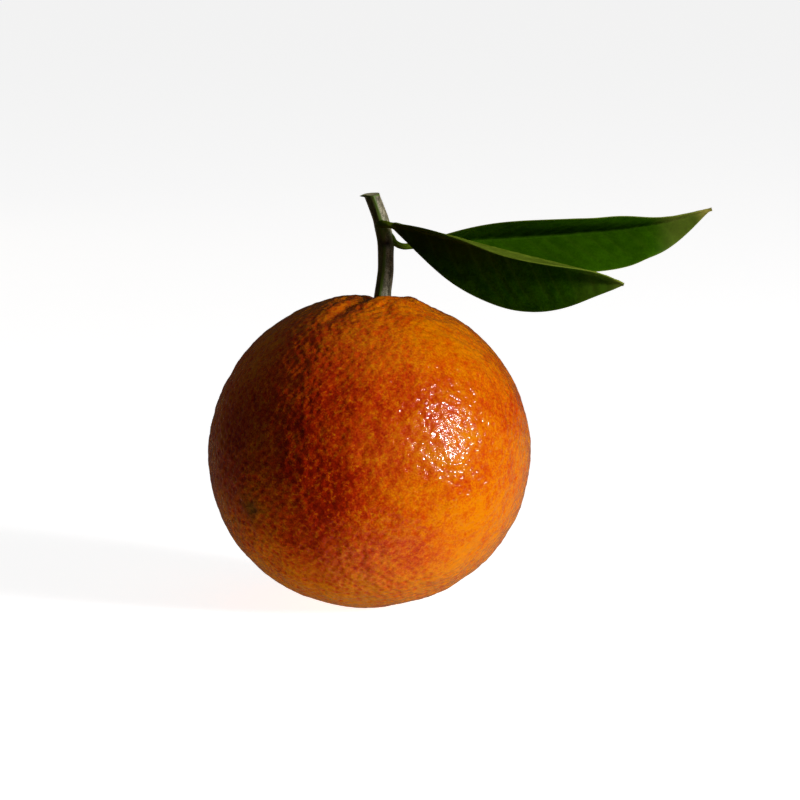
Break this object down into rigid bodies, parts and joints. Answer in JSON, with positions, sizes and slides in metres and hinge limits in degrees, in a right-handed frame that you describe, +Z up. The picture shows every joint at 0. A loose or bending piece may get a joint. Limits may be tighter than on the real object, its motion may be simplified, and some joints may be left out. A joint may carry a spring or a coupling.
{
  "type": "blood orange with twig and leaves",
  "caption": "Whole blood orange with pebbled red-blushed peel, a dimpled stem end, a short cut twig and long folded green leaves.",
  "frame": {"origin": "middle of the small flat spot that the fruit rests on", "axes": "+Z up along the twig's side of the fruit, +X towards the leaf tips, front along -Y"},
  "size_m": [0.1134, 0.072, 0.0926],
  "materials": {
    "peel": "pebbled citrus peel, orange with a mottled dark red blush, satin gloss",
    "calyx": "dry grey-green calyx, matte",
    "bark": "young citrus bark, grey-brown with green ridges, matte",
    "leaf": "citrus leaf, glossy dark green above, pale matte green below"
  },
  "bodies": {
    "root": {"fruit": "peel", "calyx": "calyx", "twig": "bark", "leaf_front": "leaf", "leaf_rear": "leaf"}
  },
  "joints": []
}
